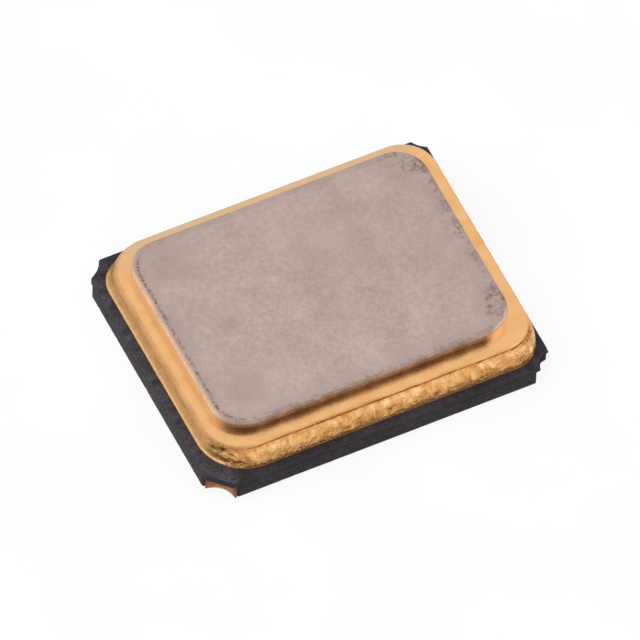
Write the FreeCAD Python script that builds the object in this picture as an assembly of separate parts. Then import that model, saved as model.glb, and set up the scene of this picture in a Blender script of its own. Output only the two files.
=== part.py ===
import FreeCAD, Part
import os

# A quartz crystal in a ceramic package with four solder terminals.
# Millimetres. +X runs along the long side and +Z up. The origin is the middle of the
# resting plane, which is the underside of the terminals.

# Ceramic body: two sheets fired into one, the upper one a frame round the cavity
body_length = 2.50
body_width = 2.00
base_sheet = 0.123
wall_sheet = 0.053
wall_width = 0.33
cavity_corner = 0.10
lower_notch = 0.154
upper_notch = 0.105
ceramic_edge = 0.008

# Terminals: a pad under each corner and the metal lining of its notch
plating = 0.012
pad_length = 0.80
pad_width = 0.70
pad_inset = 0.07
pad_corner = 0.05

# Seal: printed metal on the frame, braze, and the ring that the lid is welded to
seal_inset = 0.045
seal_print = 0.012
seal_setback = 0.02
braze_layer = 0.020
ring_inset = 0.078
ring_width = 0.212
ring_height = 0.150
ring_corner = 0.25
ring_inner_corner = 0.09
ring_edge = 0.010
bead_drop = 0.020
bead_round = 0.026
inner_bead_width = 0.016
inner_bead_height = 0.040

# Lid
lid_inset = 0.178
lid_thickness = 0.080
lid_corner = 0.22
lid_edge = 0.028

# Quartz blank, held at one end only, and its clearances inside the cavity
blank_thickness = 0.064
blank_held_gap = 0.12
blank_free_gap = 0.18
blank_side_gap = 0.17

# Electrodes on the two faces of the blank, and the bare quartz left round them
film = 0.012
bare_held_end = 0.30
bare_free_end = 0.32
bare_side = 0.13
electrode_corner = 0.08
tab_width = 0.22
tab_reach = 0.20
tab_shift = 0.055

# Bonds between the blank and the body
land_length = 0.30
land_print = 0.015
land_corner = 0.04
land_end_gap = 0.05
land_side_gap = 0.16
land_apart = 0.30
glue_height = 0.025
glue_radius = 0.115
glue_top_radius = 0.07
glue_inboard = 0.025
glue_cover = 0.014

# Conductor from one bond to the opposite corner
track_width = 0.08
track_wall_gap = 0.06
track_end_gap = 0.12
track_end_radius = 0.07

# Low rest under the free end of the blank
rest_length = 0.14
rest_width = 0.60
rest_height = 0.022
rest_end_gap = 0.06
rest_corner = 0.05
rest_round = 0.011

# Filled holes through the ceramic
via_radius = 0.045
ground_via_inset = 0.19

# Points nearer than this are taken as one place
same_place = 0.000001

# Levels, upwards from the resting plane
base_bottom = plating
base_top = base_bottom + base_sheet
wall_top = base_top + wall_sheet
print_top = wall_top + seal_print
ring_bottom = print_top + braze_layer
ring_top = ring_bottom + ring_height
lid_top = ring_top + lid_thickness
land_top = base_top + land_print
blank_bottom = land_top + glue_height + film
blank_top = blank_bottom + blank_thickness

# Places along X and Y
cavity_length = body_length - 2 * wall_width
cavity_width = body_width - 2 * wall_width
blank_left = -cavity_length / 2 + blank_held_gap
blank_right = cavity_length / 2 - blank_free_gap
blank_width = cavity_width - 2 * blank_side_gap
electrode_left = blank_left + bare_held_end
electrode_right = blank_right - bare_free_end
electrode_width = blank_width - 2 * bare_side
land_width = (cavity_width - land_apart) / 2 - land_side_gap
bond_offset = (land_apart + land_width) / 2
land_middle = -cavity_length / 2 + land_end_gap + land_length / 2
track_y = cavity_width / 2 - track_wall_gap - track_width / 2
track_end_x = cavity_length / 2 - track_end_gap


def block(low_x, high_x, low_y, high_y, low_z, high_z):
    corner = FreeCAD.Vector(low_x, low_y, low_z)
    return Part.makeBox(high_x - low_x, high_y - low_y, high_z - low_z, corner)


def centred_block(length, width, low, high):
    return block(-length / 2, length / 2, -width / 2, width / 2, low, high)


def round_bar(radius, x, y, low, high):
    return Part.makeCylinder(radius, high - low, FreeCAD.Vector(x, y, low))


def upright_edges(shape):
    # The straight edges that run along Z.
    thin_boxes = [(edge, edge.BoundBox) for edge in shape.Edges]
    return [edge for edge, box in thin_boxes if box.XLength < same_place and box.YLength < same_place]


def level_edges(shape, level):
    # The edges that lie wholly in one level plane.
    flat_boxes = [(edge, edge.BoundBox) for edge in shape.Edges if edge.BoundBox.ZLength < same_place]
    return [edge for edge, box in flat_boxes if abs(box.ZMin - level) < same_place]


def rounded_plate(length, width, radius, low, high, middle_x=0.0, middle_y=0.0):
    plate = centred_block(length, width, low, high)
    plate = plate.makeFillet(radius, upright_edges(plate))
    plate.translate(FreeCAD.Vector(middle_x, middle_y, 0))
    return plate


def inset_plate(inset, radius, low, high):
    # A plate whose sides stand in from those of the body.
    return rounded_plate(body_length - 2 * inset, body_width - 2 * inset, radius, low, high)


def corner_notches(radius, low, high):
    bars = []
    for side_x in (-1, 1):
        for side_y in (-1, 1):
            x = side_x * body_length / 2
            y = side_y * body_width / 2
            bars.append(round_bar(radius, x, y, low, high))
    return Part.makeCompound(bars)


def signal_via_places():
    return {
        "signal_via_in": (land_middle, -bond_offset),
        "signal_via_out": (track_end_x, track_y),
    }


def ground_via_places():
    x = body_length / 2 - ground_via_inset
    y = body_width / 2 - ground_via_inset
    return {
        "ground_via_right": (x, -y),
        "ground_via_left": (-x, y),
    }


def make_vias():
    vias = {}
    for name, (x, y) in signal_via_places().items():
        vias[name] = round_bar(via_radius, x, y, base_bottom, base_top)
    for name, (x, y) in ground_via_places().items():
        vias[name] = round_bar(via_radius, x, y, base_bottom, wall_top)
    return vias


def make_ceramic_body(vias):
    lower = centred_block(body_length, body_width, base_bottom, base_top)
    lower = lower.cut(corner_notches(lower_notch + plating, base_bottom, base_top))
    upper = centred_block(body_length, body_width, base_top, wall_top)
    upper = upper.makeFillet(ceramic_edge, level_edges(upper, wall_top))
    upper = upper.cut(corner_notches(upper_notch, base_top, wall_top))
    cavity = rounded_plate(cavity_length, cavity_width, cavity_corner, base_top, wall_top)
    body = lower.fuse(upper.cut(cavity)).removeSplitter()
    for via in vias.values():
        body = body.cut(via)
    return body


def make_terminal(side_x, side_y):
    corner_x = side_x * body_length / 2
    corner_y = side_y * body_width / 2
    middle_x = side_x * (body_length / 2 - pad_inset - pad_length / 2)
    middle_y = side_y * (body_width / 2 - pad_inset - pad_width / 2)
    pad = rounded_plate(pad_length, pad_width, pad_corner, 0, base_bottom, middle_x, middle_y)
    lining = round_bar(lower_notch + plating, corner_x, corner_y, 0, base_top)
    within = block(min(0, corner_x), max(0, corner_x), min(0, corner_y), max(0, corner_y), 0, base_top)
    metal = pad.fuse(lining.common(within))
    metal = metal.cut(round_bar(lower_notch, corner_x, corner_y, 0, base_top))
    return metal.removeSplitter()


def make_terminals():
    return {
        "terminal_in": make_terminal(-1, -1),
        "terminal_ground_right": make_terminal(1, -1),
        "terminal_out": make_terminal(1, 1),
        "terminal_ground_left": make_terminal(-1, 1),
    }


def seal_corner():
    # The print keeps an even margin round the ring, corners included.
    return ring_corner + ring_inset - seal_inset


def make_seal_print():
    outer = inset_plate(seal_inset, seal_corner(), wall_top, print_top)
    inner_inset = wall_width - seal_setback
    inner = inset_plate(inner_inset, cavity_corner + seal_setback, wall_top, print_top)
    return outer.cut(inner)


def make_braze():
    # A thin layer under the ring, a full bead up its outer side and a low one inside.
    bead_top = ring_top - bead_drop
    outer = inset_plate(seal_inset, seal_corner(), print_top, bead_top)
    outer = outer.makeFillet(bead_round, level_edges(outer, bead_top))
    ring_space = inset_plate(ring_inset, ring_corner, ring_bottom, bead_top)
    inner_inset = ring_inset + ring_width
    low_top = ring_bottom + inner_bead_height
    inner_bead = inset_plate(inner_inset, ring_inner_corner, ring_bottom, low_top)
    opening = inset_plate(inner_inset + inner_bead_width, ring_inner_corner, print_top, low_top)
    braze = outer.cut(ring_space).fuse(inner_bead)
    return braze.cut(opening).removeSplitter()


def make_seal_ring():
    ring = inset_plate(ring_inset, ring_corner, ring_bottom, ring_top)
    hole = inset_plate(ring_inset + ring_width, ring_inner_corner, ring_bottom, ring_top)
    ring = ring.makeFillet(ring_edge, level_edges(ring, ring_top))
    return ring.cut(hole)


def make_lid():
    lid = inset_plate(lid_inset, lid_corner, ring_top, lid_top)
    return lid.makeFillet(lid_edge, level_edges(lid, lid_top))


def make_quartz_blank():
    half = blank_width / 2
    return block(blank_left, blank_right, -half, half, blank_bottom, blank_top)


def make_electrode(low, high, tab_y, far_low, far_high):
    # A field on one face, a tab to the bonded end, and a wrap round that end to the other face.
    middle = (electrode_left + electrode_right) / 2
    length = electrode_right - electrode_left
    field = rounded_plate(length, electrode_width, electrode_corner, low, high, middle, 0)
    front = tab_y - tab_width / 2
    back = tab_y + tab_width / 2
    tab = block(blank_left - film, electrode_left + electrode_corner, front, back, low, high)
    wrap = block(blank_left - film, blank_left, front, back, min(low, far_low), max(high, far_high))
    patch = block(blank_left - film, blank_left + tab_reach, front, back, far_low, far_high)
    return field.fuse([tab, wrap, patch]).removeSplitter()


def make_electrodes():
    under = (blank_bottom - film, blank_bottom)
    over = (blank_top, blank_top + film)
    return {
        "lower_electrode": make_electrode(*under, -bond_offset + tab_shift, *over),
        "upper_electrode": make_electrode(*over, bond_offset - tab_shift, *under),
    }


def make_glue_dot(y, held):
    # A dot of conductive glue that wets the land and wraps the end of the blank.
    x = blank_left + glue_inboard
    top = blank_top + film + glue_cover
    outline = [
        FreeCAD.Vector(x, y, land_top),
        FreeCAD.Vector(x + glue_radius, y, land_top),
        FreeCAD.Vector(x + glue_radius, y, blank_bottom),
        FreeCAD.Vector(x + glue_top_radius, y, top),
        FreeCAD.Vector(x, y, top),
    ]
    side = Part.Arc(outline[1], outline[2], outline[3]).toShape()
    edges = [
        Part.makeLine(outline[0], outline[1]),
        side,
        Part.makeLine(outline[3], outline[4]),
        Part.makeLine(outline[4], outline[0]),
    ]
    half_section = Part.Face(Part.Wire(edges))
    dot = half_section.revolve(outline[0], FreeCAD.Vector(0, 0, 1), 360)
    for piece in held:
        dot = dot.cut(piece)
    return dot


def make_land(y):
    return rounded_plate(land_length, land_width, land_corner, base_top, land_top, land_middle, y)


def make_track():
    # From the far bond along the cavity's side to a round end over its via.
    half = track_width / 2
    across = block(land_middle - half, land_middle + half, bond_offset, track_y + half, base_top, land_top)
    along = block(land_middle - half, track_end_x, track_y - half, track_y + half, base_top, land_top)
    end = round_bar(track_end_radius, track_end_x, track_y, base_top, land_top)
    return [across, along, end]


def make_rest():
    middle_x = blank_right - rest_end_gap - rest_length / 2
    top = base_top + rest_height
    rest = rounded_plate(rest_length, rest_width, rest_corner, base_top, top, middle_x, 0)
    return rest.makeFillet(rest_round, level_edges(rest, top))


def build():
    pieces = {}
    vias = make_vias()
    pieces["ceramic_body"] = make_ceramic_body(vias)
    pieces.update(make_terminals())
    pieces.update(vias)
    pieces["seal_print"] = make_seal_print()
    pieces["braze"] = make_braze()
    pieces["seal_ring"] = make_seal_ring()
    pieces["lid"] = make_lid()
    pieces["quartz_blank"] = make_quartz_blank()
    pieces.update(make_electrodes())
    held = [pieces["quartz_blank"], pieces["lower_electrode"], pieces["upper_electrode"]]
    pieces["glue_dot_in"] = make_glue_dot(-bond_offset, held)
    pieces["glue_dot_out"] = make_glue_dot(bond_offset, held)
    pieces["bond_land_in"] = make_land(-bond_offset)
    pieces["bond_land_out"] = make_land(bond_offset).fuse(make_track()).removeSplitter()
    pieces["blank_rest"] = make_rest()
    return pieces


def main():
    os.makedirs("parts", exist_ok=True)
    for name, shape in build().items():
        shape.exportStep(os.path.join("parts", name + ".step"))
        print(name, len(shape.Solids), "solid", round(shape.Volume, 6), "mm3", shape.isValid())


main()
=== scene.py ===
import math

import bpy
import numpy as np
from mathutils import Matrix, Vector, geometry, noise


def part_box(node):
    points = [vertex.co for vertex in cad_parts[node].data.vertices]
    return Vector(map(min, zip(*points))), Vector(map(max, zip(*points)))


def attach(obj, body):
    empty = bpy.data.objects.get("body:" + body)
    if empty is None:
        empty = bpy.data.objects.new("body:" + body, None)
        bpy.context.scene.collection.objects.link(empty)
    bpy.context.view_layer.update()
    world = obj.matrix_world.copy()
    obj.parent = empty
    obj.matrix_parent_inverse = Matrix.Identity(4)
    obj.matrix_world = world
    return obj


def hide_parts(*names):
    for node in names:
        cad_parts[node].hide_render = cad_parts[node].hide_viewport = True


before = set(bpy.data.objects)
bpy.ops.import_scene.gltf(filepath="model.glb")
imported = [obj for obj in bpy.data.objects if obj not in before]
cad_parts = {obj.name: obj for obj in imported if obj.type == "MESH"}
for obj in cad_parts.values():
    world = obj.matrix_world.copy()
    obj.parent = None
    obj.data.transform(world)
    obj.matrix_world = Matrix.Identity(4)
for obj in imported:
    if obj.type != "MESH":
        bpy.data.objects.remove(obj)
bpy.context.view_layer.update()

# A surface-mount quartz crystal. Shapes are worked out in millimetres and stored in metres.
mm = 0.001


def highCorner(node):
    return [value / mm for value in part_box(node)[1]]


def lowCorner(node):
    return [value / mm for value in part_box(node)[0]]


halfLength, halfWidth, wallTop = highCorner("ceramic_body")
baseBottom = lowCorner("ceramic_body")[2]
baseTop = highCorner("terminal_in")[2]
printTop = highCorner("seal_print")[2]
beadTop = highCorner("braze")[2]
ringBottom = lowCorner("seal_ring")[2]
ringTop = highCorner("seal_ring")[2]
lidTop = highCorner("lid")[2]
sealInset = halfLength - highCorner("seal_print")[0]
ringInset = halfLength - highCorner("seal_ring")[0]
lidInset = halfLength - highCorner("lid")[0]
print("sizes read from the frame, body", round(2 * halfLength, 3), "by", round(2 * halfWidth, 3), "mm")

# How finely the loops round the package are cut
loopSteps = {"corner": 56, "long": 250, "short": 190, "notch": 30, "tipPasses": 3}


def roundedLoop(inset, corners):
    # Points and outward directions round a rectangle with round corners, anticlockwise from +X. The
    # corners have one radius, or four in the order far right, far left, near left, near right.
    radii = corners if isinstance(corners, tuple) else (corners,) * 4
    halfX, halfY = halfLength - inset, halfWidth - inset
    signs = [(1, 1), (-1, 1), (-1, -1), (1, -1)]
    centres = [np.array([signX * (halfX - radius), signY * (halfY - radius)])
               for (signX, signY), radius in zip(signs, radii)]
    points, facing = [], []
    for corner in range(4):
        for step in range(loopSteps["corner"]):
            angle = math.pi / 2 * (corner + step / loopSteps["corner"])
            out = np.array([math.cos(angle), math.sin(angle)])
            points.append(centres[corner] + radii[corner] * out)
            facing.append(out)
        angle = math.pi / 2 * (corner + 1)
        out = np.array([math.cos(angle), math.sin(angle)])
        start = centres[corner] + radii[corner] * out
        end = centres[(corner + 1) % 4] + radii[(corner + 1) % 4] * out
        count = loopSteps["long"] if corner % 2 == 0 else loopSteps["short"]
        for step in range(count):
            points.append(start + (end - start) * step / count)
            facing.append(out)
    return np.array(points), np.array(facing)


def notchedLoop(inset, notches):
    # The body's outline with a notch in each corner, anticlockwise from the far right. Each notch has a
    # radius and a depth, which is 1 for a full quarter round and less for a flatter one.
    radii = [radius + inset for radius, _ in notches]
    reaches = [math.sqrt(radius * radius - inset * inset) for radius in radii]
    signs = [(1, 1), (-1, 1), (-1, -1), (1, -1)]
    points, tips = [], []
    for corner, (signX, signY) in enumerate(signs):
        centre = np.array([signX * halfLength, signY * halfWidth])
        radius = radii[corner]
        turn = math.asin(inset / radius)
        first = math.pi / 2 * corner + 1.5 * math.pi - turn
        last = math.pi / 2 * corner + math.pi + turn
        tips.append(len(points))
        start = centre + radius * np.array([math.cos(first), math.sin(first)])
        end = centre + radius * np.array([math.cos(last), math.sin(last)])
        for step in range(loopSteps["notch"] + 1):
            share = step / loopSteps["notch"]
            angle = first + (last - first) * share
            straight = start + (end - start) * share
            points.append(straight + notches[corner][1] * (
                centre + radius * np.array([math.cos(angle), math.sin(angle)]) - straight))
        tips.append(len(points) - 1)
        along = np.array([-signX, 0]) if corner % 2 == 0 else np.array([0, -signY])
        side = 2 * (halfLength if corner % 2 == 0 else halfWidth)
        run = side - reaches[corner] - reaches[(corner + 1) % 4]
        count = loopSteps["long"] if corner % 2 == 0 else loopSteps["short"]
        start = points[-1]
        for step in range(1, count):
            points.append(start + along * run * step / count)
    points = np.array(points)
    for _ in range(loopSteps["tipPasses"]):
        smoothed = points.copy()
        for tip in tips:
            for place in range(tip - 2, tip + 3):
                before, after = points[(place - 1) % len(points)], points[(place + 1) % len(points)]
                smoothed[place % len(points)] = points[place % len(points)] / 2 + (before + after) / 4
        points = smoothed
    return points


def loftFaces(loopCount, pointCount, closed):
    faces = []
    for loop in range(loopCount if closed else loopCount - 1):
        here, there = loop * pointCount, (loop + 1) % loopCount * pointCount
        for place in range(pointCount):
            after = (place + 1) % pointCount
            faces.append((here + place, here + after, there + after, there + place))
    return faces


def fillFlat(outer, holes, spacing):
    # Triangles between an outer loop and its holes, with evenly spread points between.
    coordinates, edges = [], []
    for loop in [outer] + holes:
        start = len(coordinates)
        coordinates += [Vector(point[:2]) for point in loop]
        edges += [(start + place, start + (place + 1) % len(loop)) for place in range(len(loop))]
    fixed = len(coordinates)
    if spacing:
        low, high = np.min(outer, axis=0)[:2], np.max(outer, axis=0)[:2]
        loopTree = np.array([list(point) for point in coordinates])
        for row, y in enumerate(np.arange(low[1] + spacing / 2, high[1], spacing * 0.87)):
            for x in np.arange(low[0] + spacing * (0.5 + 0.5 * (row % 2)), high[0], spacing):
                if np.min(np.hypot(loopTree[:, 0] - x, loopTree[:, 1] - y)) > spacing * 0.6:
                    coordinates.append(Vector((x, y)))
    out = geometry.delaunay_2d_cdt(coordinates, edges, [], 2, 1e-7)
    points, faces, origins = out[0], out[2], out[3]
    return [tuple(point) for point in points], [tuple(face) for face in faces], origins, fixed


def smoothNoise(point, size, seed=0):
    # About -1 to 1, over patches of the given size in millimetres.
    return noise.noise(Vector(point) / size + Vector((seed * 7.31, seed * 3.17, seed * 5.77)))


def sideShares(outX, outY):
    # How much of a direction belongs to each side of the package, which adds up to 1, and to each corner.
    shares = {"right": max(0.0, outX) ** 2, "left": max(0.0, -outX) ** 2,
              "far": max(0.0, outY) ** 2, "near": max(0.0, -outY) ** 2}
    for corner, first, second in [("nearLeft", "near", "left"), ("nearRight", "near", "right"),
                                  ("farLeft", "far", "left"), ("farRight", "far", "right")]:
        shares[corner] = 4 * shares[first] * shares[second]
    return shares


def bySide(shares, values):
    return sum(shares[side] * values[side] for side in values)


def limited(value, low=0.0, high=1.0):
    return max(low, min(high, value))


def makePiece(name, vertices, faces, finish, sharpAngle=40, marks=None):
    mesh = bpy.data.meshes.new(name)
    mesh.from_pydata([[value * mm for value in vertex] for vertex in vertices], [], faces)
    mesh.validate()
    for mark, values in (marks or {}).items():
        layer = mesh.attributes.new(mark, "FLOAT", "POINT")
        layer.data.foreach_set("value", np.array(values, np.float32))
    mesh.shade_smooth()
    mesh.set_sharp_from_angle(angle=math.radians(sharpAngle))
    mesh.materials.append(finish)
    piece = bpy.data.objects.new(name, mesh)
    bpy.context.scene.collection.objects.link(piece)
    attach(piece, "root")
    return piece


# Finishes

def photoColour(red, green, blue):
    # A colour as it is seen on a screen, as the shader wants it.
    values = [channel / 255 for channel in (red, green, blue)]
    linear = [v / 12.92 if v <= 0.04045 else ((v + 0.055) / 1.055) ** 2.4 for v in values]
    return (*linear, 1.0)


class Finish:
    # A material with its coordinates in millimetres and short ways to add to it.
    def __init__(self, name):
        self.material = bpy.data.materials.new(name)
        self.material.use_nodes = True
        self.nodes = self.material.node_tree.nodes
        self.links = self.material.node_tree.links
        self.nodes.clear()
        self.output = self.nodes.new("ShaderNodeOutputMaterial")
        self.shader = self.nodes.new("ShaderNodeBsdfPrincipled")
        self.links.new(self.shader.outputs[0], self.output.inputs[0])
        place = self.nodes.new("ShaderNodeTexCoord")
        self.space = self.add("ShaderNodeVectorMath", operation="SCALE")
        self.links.new(place.outputs["Object"], self.space.inputs[0])
        self.space.inputs["Scale"].default_value = 1 / mm

    def add(self, kind, **settings):
        node = self.nodes.new(kind)
        for setting, value in settings.items():
            setattr(node, setting, value)
        return node

    def patches(self, size, detail=3, roughness=0.5, stretch=None, shift=0.0, source=None):
        # Cloudy noise whose patches are about the given size in millimetres.
        cloud = self.add("ShaderNodeTexNoise")
        source = source or self.space.outputs[0]
        if stretch or shift:
            mapping = self.add("ShaderNodeMapping")
            mapping.inputs["Scale"].default_value = stretch or (1, 1, 1)
            mapping.inputs["Location"].default_value = (shift, shift * 0.7, shift * 1.3)
            self.links.new(source, mapping.inputs[0])
            source = mapping.outputs[0]
        self.links.new(source, cloud.inputs["Vector"])
        cloud.inputs["Scale"].default_value = 1 / size
        cloud.inputs["Detail"].default_value = detail
        cloud.inputs["Roughness"].default_value = roughness
        return cloud.outputs[0]

    def grains(self, size):
        cells = self.add("ShaderNodeTexVoronoi")
        self.links.new(self.space.outputs[0], cells.inputs["Vector"])
        cells.inputs["Scale"].default_value = 1 / size
        return cells.outputs["Distance"]

    def mark(self, name):
        return self.add("ShaderNodeAttribute", attribute_name=name).outputs["Fac"]

    def between(self, value, low, high, outLow=0.0, outHigh=1.0):
        reach = self.add("ShaderNodeMapRange", clamp=True, interpolation_type="SMOOTHSTEP")
        self.links.new(value, reach.inputs["Value"])
        sockets = ("From Min", "From Max", "To Min", "To Max")
        for socket, number in zip(sockets, (low, high, outLow, outHigh)):
            reach.inputs[socket].default_value = number
        return reach.outputs[0]

    def sum(self, first, second, operation="ADD"):
        maths = self.add("ShaderNodeMath", operation=operation)
        for socket, value in zip(maths.inputs, (first, second)):
            if isinstance(value, (int, float)):
                socket.default_value = value
            else:
                self.links.new(value, socket)
        return maths.outputs[0]

    def times(self, first, second):
        return self.sum(first, second, "MULTIPLY")

    def blend(self, amount, first, second):
        mix = self.add("ShaderNodeMix", data_type="RGBA", blend_type="MIX")
        for socket, value in zip((mix.inputs[0], mix.inputs[6], mix.inputs[7]), (amount, first, second)):
            if isinstance(value, (int, float, tuple)):
                socket.default_value = value
            else:
                self.links.new(value, socket)
        return mix.outputs[2]

    def ramp(self, value, stops):
        colours = self.add("ShaderNodeValToRGB")
        self.links.new(value, colours.inputs[0])
        elements = colours.color_ramp.elements
        elements[0].position, elements[0].color = stops[0][0], photoColour(*stops[0][1])
        elements[1].position, elements[1].color = stops[-1][0], photoColour(*stops[-1][1])
        for position, colour in stops[1:-1]:
            elements.new(position).color = photoColour(*colour)
        return colours.outputs[0]

    def relief(self, heightValue, depth, under=None):
        # Bumps of about the given depth in millimetres.
        bump = self.add("ShaderNodeBump")
        bump.inputs["Strength"].default_value = 1.0
        bump.inputs["Distance"].default_value = depth * mm
        self.links.new(heightValue, bump.inputs["Height"])
        if under is not None:
            self.links.new(under, bump.inputs["Normal"])
        return bump.outputs[0]

    def set(self, **values):
        names = {"colour": "Base Color", "metal": "Metallic", "rough": "Roughness", "normal": "Normal"}
        for name, value in values.items():
            socket = self.shader.inputs[names.get(name, name)]
            if isinstance(value, (int, float, tuple)):
                socket.default_value = value
            else:
                self.links.new(value, socket)
        return self.material


ceramicLook = {
    # The palest colour serves both for wear on rubbed edges and for painted light on the top of the left
    # side.
    "deep": (24, 19, 22), "middle": (34, 28, 32), "light": (50, 43, 48), "wearAndLight": (78, 73, 82),
    "cloud": 0.35, "grain": 0.012, "speck": 0.0192, "cloudShare": 0.55, "grainShare": 0.45,
    "bands": (0.36, 0.50, 0.66), "wearAndLightPatches": (0.35, 0.60, 0.40, 1.0),
    "roughness": (0.50, 0.68), "grainDepth": 0.0010, "shine": 0.25,
}


def ceramicFinish():
    finish = Finish("dark alumina")
    look = ceramicLook
    cloud = finish.patches(look["cloud"], detail=4)
    grain = finish.patches(look["grain"], detail=2)
    speck = finish.grains(look["speck"])
    tone = finish.sum(finish.times(cloud, look["cloudShare"]), finish.times(grain, look["grainShare"]))
    colour = finish.ramp(tone, list(zip(look["bands"], (look["deep"], look["middle"], look["light"]))))
    # Wear pales the rubbed edges, and painted light makes the top of the left side paler, as if lit from the
    # left.
    wearAndLight = finish.times(finish.mark("wearAndLight"), finish.between(grain, *look["wearAndLightPatches"]))
    colour = finish.blend(wearAndLight, colour, photoColour(*look["wearAndLight"]))
    rough = finish.between(speck, 0.1, 0.6, *look["roughness"])
    normal = finish.relief(finish.sum(grain, speck), look["grainDepth"])
    finish.shader.inputs["Specular IOR Level"].default_value = look["shine"]
    return finish.set(colour=colour, rough=rough, normal=normal)


goldLook = {
    # The darkest colour here is painted shade for the crease, and the palest is painted sheen for the far
    # side.
    "bright": (243, 190, 134), "plain": (238, 184, 125), "warm": (231, 173, 111), "creaseShade": (148, 102, 60),
    "farSheen": (220, 184, 144), "bands": (0.32, 0.52, 0.70), "creaseShadePatches": (0.35, 0.60, 0.70, 1.0),
    "cloud": 0.18, "fine": 0.016, "roughness": (0.20, 0.28), "ripple": 0.05, "rippleDepth": 0.0007,
}


def ringFinish():
    # The crease mark is painted shade along the line where the ring meets the bead and over the crest's
    # rounding; the faded mark is painted sheen that makes the far side's gold paler.
    finish = Finish("smooth gold plating")
    look = goldLook
    cloud = finish.patches(look["cloud"], detail=4)
    fine = finish.patches(look["fine"], detail=2)
    colour = finish.ramp(cloud, list(zip(look["bands"], (look["warm"], look["plain"], look["bright"]))))
    # Painted sheen: the far side's gold is paler.
    colour = finish.blend(finish.mark("farSheen"), colour, photoColour(*look["farSheen"]))
    # Painted shade: darker along the crease and over the crest's rounding.
    creaseShade = finish.times(finish.mark("creaseShade"), finish.between(fine, *look["creaseShadePatches"]))
    colour = finish.blend(creaseShade, colour, photoColour(*look["creaseShade"]))
    rough = finish.between(fine, 0.3, 0.7, *look["roughness"])
    normal = finish.relief(finish.patches(look["ripple"], detail=3), look["rippleDepth"])
    return finish.set(colour=colour, metal=1.0, rough=rough, normal=normal)


brazeLook = {
    "stops": [(0.0, (94, 56, 28)), (0.2, (146, 92, 46)), (0.4, (186, 126, 70)), (0.6, (212, 154, 92)),
              (0.8, (238, 182, 116)), (1.0, (255, 218, 162))],
    "streak": (0.020, 0.070), "blotch": (0.050, 0.060), "speckle": 0.013, "pit": 0.030,
    "streakShare": 0.60, "blotchShare": 0.75, "speckleShare": 0.55, "pitShare": 0.12,
    "roughness": (0.28, 0.48), "grainDepth": 0.0014,
    # Smooth parts, where mottle is below the first number, are less metallic than rough ones.
    "metal": (0.30, 0.55, 0.50, 1.0),
}


def brazeFinish():
    # Marks: tone is the colour at each place, with painted light and shade up the bead's face and at its
    # corners, and mottle how spotted it is there; along and up are the distances round the bead and up its
    # face.
    finish = Finish("rough gold plating")
    look = brazeLook
    face = finish.add("ShaderNodeCombineXYZ")
    finish.links.new(finish.mark("along"), face.inputs[0])
    finish.links.new(finish.mark("up"), face.inputs[1])
    spots = 0.0
    for name, detail, shift in [("streak", 2, 0.0), ("blotch", 3, 4.0)]:
        wide, tall = look[name]
        cloud = finish.patches(1.0, detail, 0.55, (1 / wide, 1 / tall, 1.0), shift, face.outputs[0])
        cloud = finish.times(finish.sum(cloud, 0.5, "SUBTRACT"), look[name + "Share"])
        spots = finish.sum(cloud, spots)
    speckle = finish.sum(finish.patches(look["speckle"], detail=2, roughness=0.6), 0.5, "SUBTRACT")
    pits = finish.between(finish.grains(look["pit"]), 0.10, 0.45, -1.0, 0.0)
    pitted = finish.times(finish.between(spots, -0.12, 0.05, 1.0, 0.0), pits)
    spots = finish.sum(spots, finish.times(speckle, look["speckleShare"]))
    spots = finish.sum(spots, finish.times(pitted, look["pitShare"]))
    mottle = finish.mark("mottle")
    tone = finish.sum(finish.mark("tone"), finish.times(spots, mottle))
    colour = finish.ramp(tone, look["stops"])
    rough = finish.between(speckle, -0.2, 0.2, *look["roughness"])
    height = finish.times(finish.sum(speckle, finish.sum(spots, pits)), finish.sum(mottle, 0.10))
    normal = finish.relief(height, look["grainDepth"])
    metal = finish.between(mottle, *look["metal"])
    return finish.set(colour=colour, metal=metal, rough=rough, normal=normal)


lidLook = {
    "dark": (174, 154, 146), "plain": (188, 167, 160), "light": (201, 182, 175), "wallGlint": (252, 240, 230),
    "bands": (0.38, 0.50, 0.61), "shares": (0.26, 0.24, 0.30, 0.20),
    "cloud": 0.30, "patch": 0.10, "fleck": 0.030, "grain": 0.010,
    # The colour that each mark brings and the range of the noise that breaks it up
    "soot": ((128, 110, 98), (0.84, 1.30)), "rim": ((136, 108, 92), (0.34, 0.60, 0.45, 1.0)),
    "heatTintAndShade": ((98, 76, 62), (0.35, 0.60, 0.80, 1.0)), "groove": ((118, 86, 70), (0.42, 0.60)),
    "glint": ((250, 206, 170), (0.30, 0.56, 0.55, 1.0)),
    "roughness": (0.36, 0.50), "grainDepth": 0.0005,
}


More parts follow.
